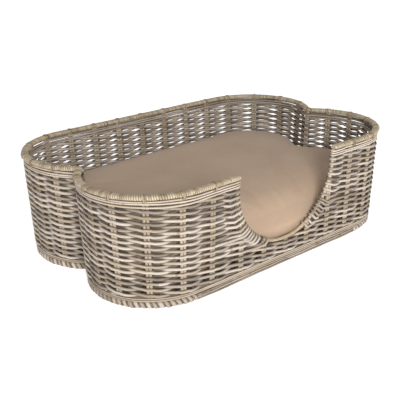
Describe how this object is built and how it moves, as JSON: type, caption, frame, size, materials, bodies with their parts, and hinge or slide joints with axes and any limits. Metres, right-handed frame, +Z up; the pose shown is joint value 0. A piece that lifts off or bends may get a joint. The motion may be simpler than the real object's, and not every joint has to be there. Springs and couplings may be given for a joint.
{
  "type": "wicker pet bed basket",
  "caption": "Bone-shaped woven rattan pet bed with a cane-bound rim, a rounded entry in the front wall and a thick loose cushion in a zipped cotton cover.",
  "frame": {"origin": "on the ground under the middle of the plan", "axes": "+X along the long side, +Z up; the entry is in the wall that faces -Y"},
  "size_m": [0.9, 0.6, 0.27],
  "materials": {
    "kubu_weave": "dry grey-beige rattan strands, matt",
    "long_rod": "pale smooth peeled rattan, matt",
    "stake_rattan": "tan rattan rod, satin",
    "pole_rattan": "tan rattan pole, satin",
    "rim_cane": "tan cane wrapping, satin",
    "border_wrap": "grey-beige rattan wrapping, matt",
    "border_cane": "tan split cane, satin",
    "nail_steel": "darkened steel",
    "cover_cotton": "plain taupe cotton canvas",
    "fill_fibre": "white fibre fill",
    "zip_nylon": "woven nylon coil zip",
    "zip_metal": "nickel plated"
  },
  "bodies": {
    "basket": {"base_pole": "pole_rattan", "base_binding_left": "border_wrap", "base_binding_right": "border_wrap", "base_cane_front": "border_cane", "base_cane_back": "border_cane", "base_nails": "nail_steel", "base_cross_rods": "pole_rattan", "base_long_rods": "pole_rattan", "floor_weave": "kubu_weave", "upper_rod_1": "long_rod", "upper_rod_2": "long_rod", "upper_rod_3": "long_rod", "lower_rod_1": "border_cane", "lower_rod_2": "border_cane", "side_weave_back": "kubu_weave", "side_weave_lobe_back_left": "kubu_weave", "side_weave_lobe_back_right": "kubu_weave", "side_weave_lobe_front_left": "kubu_weave", "side_weave_lobe_front_right": "kubu_weave", "side_weave_front_left": "kubu_weave", "side_weave_front_right": "kubu_weave", "side_weave_sill": "kubu_weave", "stakes_front_left": "stake_rattan", "stakes_front_right": "stake_rattan", "stakes_notch": "stake_rattan", "stakes_back_left": "stake_rattan", "stakes_back": "stake_rattan", "stakes_back_right": "stake_rattan", "stakes_sill": "stake_rattan", "entry_hoop": "border_cane", "rim_core_front_left": "pole_rattan", "rim_core_back": "pole_rattan", "rim_core_front_right": "pole_rattan", "rim_binding_front_left": "rim_cane", "rim_binding_back": "rim_cane", "rim_binding_front_right": "rim_cane", "rim_nails": "nail_steel"},
    "cushion": {"cushion_cover": "cover_cotton", "cushion_underside": "cover_cotton", "cushion_pad": "fill_fibre", "zip_tape": "zip_nylon"},
    "slider": {"zip_slider": "zip_metal"}
  },
  "joints": [
    {"name": "cushion_lift", "type": "slide", "parent": "basket", "child": "cushion", "axis": [0, 0, 1], "range_m": [0, 0.27]},
    {"name": "zip_slide", "type": "slide", "parent": "cushion", "child": "slider", "axis": [-1, 0, 0], "range_m": [0, 0.37]}
  ]
}
